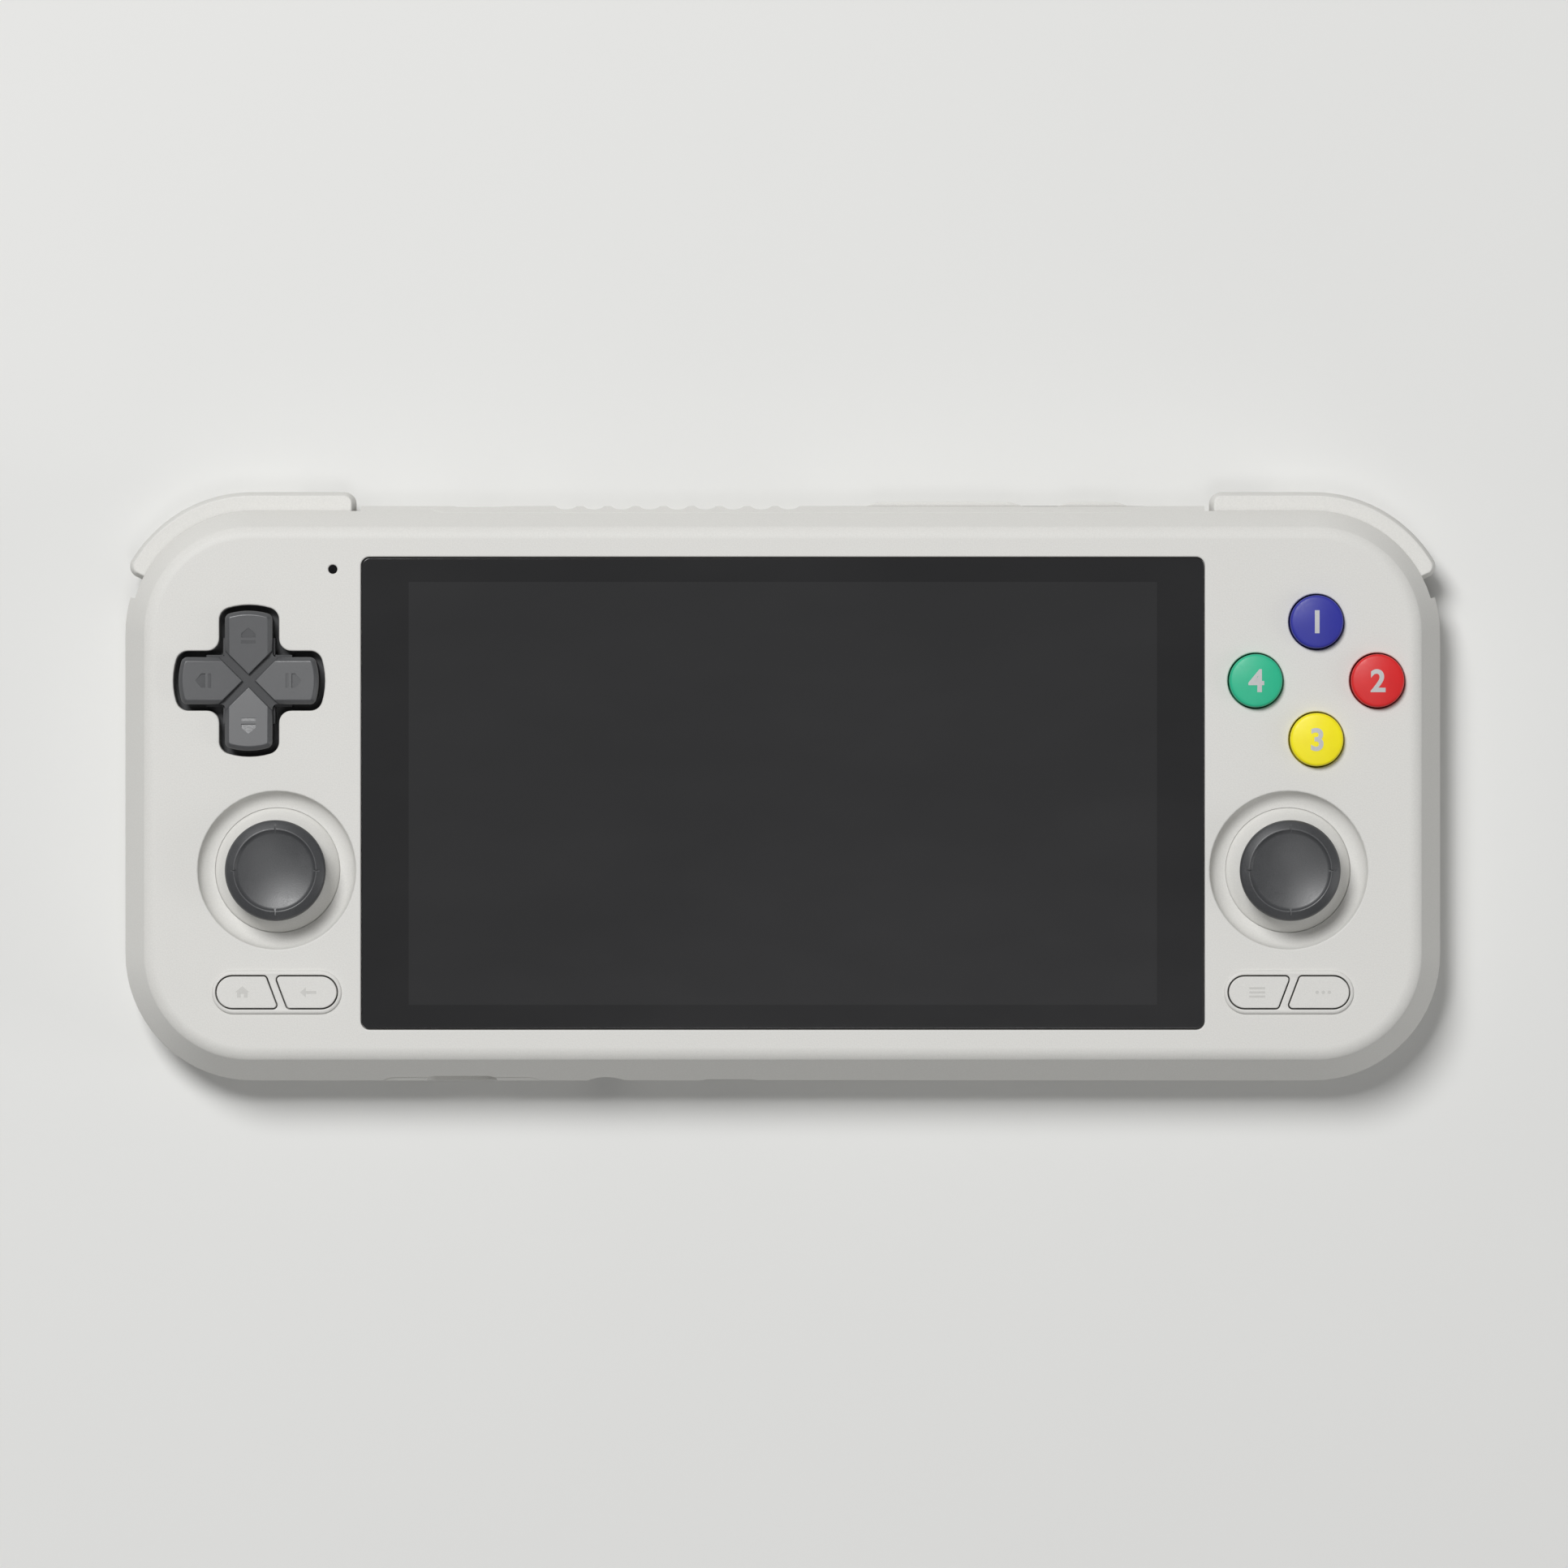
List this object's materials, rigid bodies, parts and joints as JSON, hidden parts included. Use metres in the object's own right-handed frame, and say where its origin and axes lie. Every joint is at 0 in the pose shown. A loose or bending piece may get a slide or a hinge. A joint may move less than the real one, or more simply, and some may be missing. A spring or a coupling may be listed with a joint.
{
  "type": "handheld game console",
  "caption": "Handheld game console with a wide screen, a direction pad, coloured face keys, thumb sticks, menu keys, bumpers and triggers in a two-shell body.",
  "frame": {"origin": "centre of the flat back, which the console lies on", "axes": "+X to the right of the screen, +Y towards the shoulder edge, +Z out of the screen"},
  "size_m": [0.184, 0.0823, 0.0193],
  "materials": {
    "shell": "fine-grained satin moulding",
    "control_grey": "satin moulding",
    "stick_rubber": "soft-touch rubber",
    "screen_glass": "polished, dark-bordered",
    "display": "unlit panel",
    "blue_key": "satin dome",
    "green_key": "satin dome",
    "red_key": "satin dome",
    "yellow_key": "satin dome",
    "dark_plastic": "moulded",
    "circuit_board": "solder resist",
    "steel": "plated",
    "aluminium": "mill finish",
    "membrane": "silicone",
    "battery_wrap": "film wrap",
    "ribbon": "flexible film"
  },
  "bodies": {
    "root": {"front_shell": "shell", "rear_shell": "shell", "top_strip": "shell", "screen_glass": "screen_glass", "screen_gasket": "dark_plastic", "display_panel": "display", "mid_plate": "aluminium", "main_board": "circuit_board", "left_control_board": "circuit_board", "right_control_board": "circuit_board", "side_key_board": "circuit_board", "battery": "battery_wrap", "fan_housing": "dark_plastic", "heat_sink": "aluminium", "speakers": "dark_plastic", "usb_socket": "steel", "headphone_socket": "dark_plastic", "video_socket": "steel", "card_reader": "steel", "light_pipe": "dark_plastic", "pad_pivot_seat": "dark_plastic", "pad_membrane": "membrane", "face_membrane": "membrane", "menu_membranes": "membrane", "shoulder_pins": "steel", "trigger_springs": "steel", "bumper_switches": "dark_plastic", "ribbon_cables": "ribbon", "case_screws": "steel", "left_stick_housing": "steel", "right_stick_housing": "steel"},
    "pad_pivot": {"pad_pivot_bead": "steel"},
    "pad": {"direction_pad": "control_grey"},
    "face_top": {"face_key_top": "blue_key"},
    "face_left": {"face_key_left": "green_key"},
    "face_right": {"face_key_right": "red_key"},
    "face_bottom": {"face_key_bottom": "yellow_key"},
    "home": {"home_key": "shell"},
    "back": {"back_key": "shell"},
    "select": {"select_key": "shell"},
    "start": {"start_key": "shell"},
    "left_yoke": {"left_stick_yoke": "dark_plastic"},
    "left_rocker": {"left_stick_rocker": "dark_plastic"},
    "left_stick": {"left_stick_post": "steel", "left_stick_skirt": "shell", "left_stick_cap": "stick_rubber"},
    "left_bumper": {"left_bumper": "shell"},
    "left_trigger": {"left_trigger": "shell"},
    "right_yoke": {"right_stick_yoke": "dark_plastic"},
    "right_rocker": {"right_stick_rocker": "dark_plastic"},
    "right_stick": {"right_stick_post": "steel", "right_stick_skirt": "shell", "right_stick_cap": "stick_rubber"},
    "right_bumper": {"right_bumper": "shell"},
    "right_trigger": {"right_trigger": "shell"},
    "volume": {"volume_rocker": "shell"},
    "power": {"power_key": "shell"},
    "card_cover": {"card_cover": "shell"},
    "fan": {"fan_rotor": "dark_plastic"}
  },
  "joints": [
    {"name": "pad_left_right", "type": "hinge", "parent": "root", "child": "pad_pivot", "pos_m": [-0.0742, 0.01565, 0.01075], "axis": [0, 1, 0], "range_deg": [-3.5, 3.5], "stiffness_Nm_per_rad": 0.04, "deforming": ["pad_membrane"]},
    {"name": "pad_up_down", "type": "hinge", "parent": "pad_pivot", "child": "pad", "pos_m": [-0.0742, 0.01565, 0.01075], "axis": [1, 0, 0], "range_deg": [-3.5, 3.5], "stiffness_Nm_per_rad": 0.04, "deforming": ["pad_membrane"]},
    {"name": "face_top_press", "type": "slide", "parent": "root", "child": "face_top", "axis": [0, 0, -1], "range_m": [0, 0.0012], "stiffness_N_per_m": 500, "deforming": ["face_membrane"]},
    {"name": "face_left_press", "type": "slide", "parent": "root", "child": "face_left", "axis": [0, 0, -1], "range_m": [0, 0.0012], "stiffness_N_per_m": 500, "deforming": ["face_membrane"]},
    {"name": "face_right_press", "type": "slide", "parent": "root", "child": "face_right", "axis": [0, 0, -1], "range_m": [0, 0.0012], "stiffness_N_per_m": 500, "deforming": ["face_membrane"]},
    {"name": "face_bottom_press", "type": "slide", "parent": "root", "child": "face_bottom", "axis": [0, 0, -1], "range_m": [0, 0.0012], "stiffness_N_per_m": 500, "deforming": ["face_membrane"]},
    {"name": "home_press", "type": "slide", "parent": "root", "child": "home", "axis": [0, 0, -1], "range_m": [0, 0.0005], "stiffness_N_per_m": 500, "deforming": ["menu_membranes"]},
    {"name": "back_press", "type": "slide", "parent": "root", "child": "back", "axis": [0, 0, -1], "range_m": [0, 0.0005], "stiffness_N_per_m": 500, "deforming": ["menu_membranes"]},
    {"name": "select_press", "type": "slide", "parent": "root", "child": "select", "axis": [0, 0, -1], "range_m": [0, 0.0005], "stiffness_N_per_m": 500, "deforming": ["menu_membranes"]},
    {"name": "start_press", "type": "slide", "parent": "root", "child": "start", "axis": [0, 0, -1], "range_m": [0, 0.0005], "stiffness_N_per_m": 500, "deforming": ["menu_membranes"]},
    {"name": "left_stick_up_down", "type": "hinge", "parent": "root", "child": "left_yoke", "pos_m": [-0.07036, -0.0107, 0.0065], "axis": [1, 0, 0], "range_deg": [-15, 15], "stiffness_Nm_per_rad": 0.02},
    {"name": "left_stick_left_right", "type": "hinge", "parent": "left_yoke", "child": "left_rocker", "pos_m": [-0.07036, -0.0107, 0.0065], "axis": [0, 1, 0], "range_deg": [-15, 15], "stiffness_Nm_per_rad": 0.02},
    {"name": "left_stick_click", "type": "slide", "parent": "left_rocker", "child": "left_stick", "axis": [0, 0, -1], "range_m": [0, 0.0004], "stiffness_N_per_m": 1500},
    {"name": "left_bumper_swing", "type": "hinge", "parent": "root", "child": "left_bumper", "pos_m": [-0.0624, 0.0362, 0.005], "axis": [0, 0, 1], "range_deg": [0, 2.5], "stiffness_Nm_per_rad": 0.5},
    {"name": "left_trigger_swing", "type": "hinge", "parent": "root", "child": "left_trigger", "pos_m": [-0.0624, 0.0362, 0.005], "axis": [0, 0, 1], "range_deg": [0, 7], "stiffness_Nm_per_rad": 0.2, "deforming": ["trigger_springs"]},
    {"name": "right_stick_up_down", "type": "hinge", "parent": "root", "child": "right_yoke", "pos_m": [0.07036, -0.0107, 0.0065], "axis": [1, 0, 0], "range_deg": [-15, 15], "stiffness_Nm_per_rad": 0.02},
    {"name": "right_stick_left_right", "type": "hinge", "parent": "right_yoke", "child": "right_rocker", "pos_m": [0.07036, -0.0107, 0.0065], "axis": [0, 1, 0], "range_deg": [-15, 15], "stiffness_Nm_per_rad": 0.02},
    {"name": "right_stick_click", "type": "slide", "parent": "right_rocker", "child": "right_stick", "axis": [0, 0, -1], "range_m": [0, 0.0004], "stiffness_N_per_m": 1500},
    {"name": "right_bumper_swing", "type": "hinge", "parent": "root", "child": "right_bumper", "pos_m": [0.0624, 0.0362, 0.005], "axis": [0, 0, -1], "range_deg": [0, 2.5], "stiffness_Nm_per_rad": 0.5},
    {"name": "right_trigger_swing", "type": "hinge", "parent": "root", "child": "right_trigger", "pos_m": [0.0624, 0.0362, 0.005], "axis": [0, 0, -1], "range_deg": [0, 7], "stiffness_Nm_per_rad": 0.2, "deforming": ["trigger_springs"]},
    {"name": "volume_rock", "type": "hinge", "parent": "root", "child": "volume", "pos_m": [0.0226, 0.0378, 0.00555], "axis": [0, 0, 1], "range_deg": [-1.5, 1.5], "stiffness_Nm_per_rad": 0.05},
    {"name": "power_press", "type": "slide", "parent": "root", "child": "power", "axis": [0, -1, 0], "range_m": [0, 0.0004], "stiffness_N_per_m": 600},
    {"name": "card_cover_swing", "type": "hinge", "parent": "root", "child": "card_cover", "pos_m": [-0.0449, -0.0392, 0.0043], "axis": [1, 0, 0], "range_deg": [0, 90]},
    {"name": "fan_spin", "type": "hinge", "parent": "root", "child": "fan", "pos_m": [-0.01475, 0.019, 0.004], "axis": [0, 0, 1], "continuous": true}
  ]
}
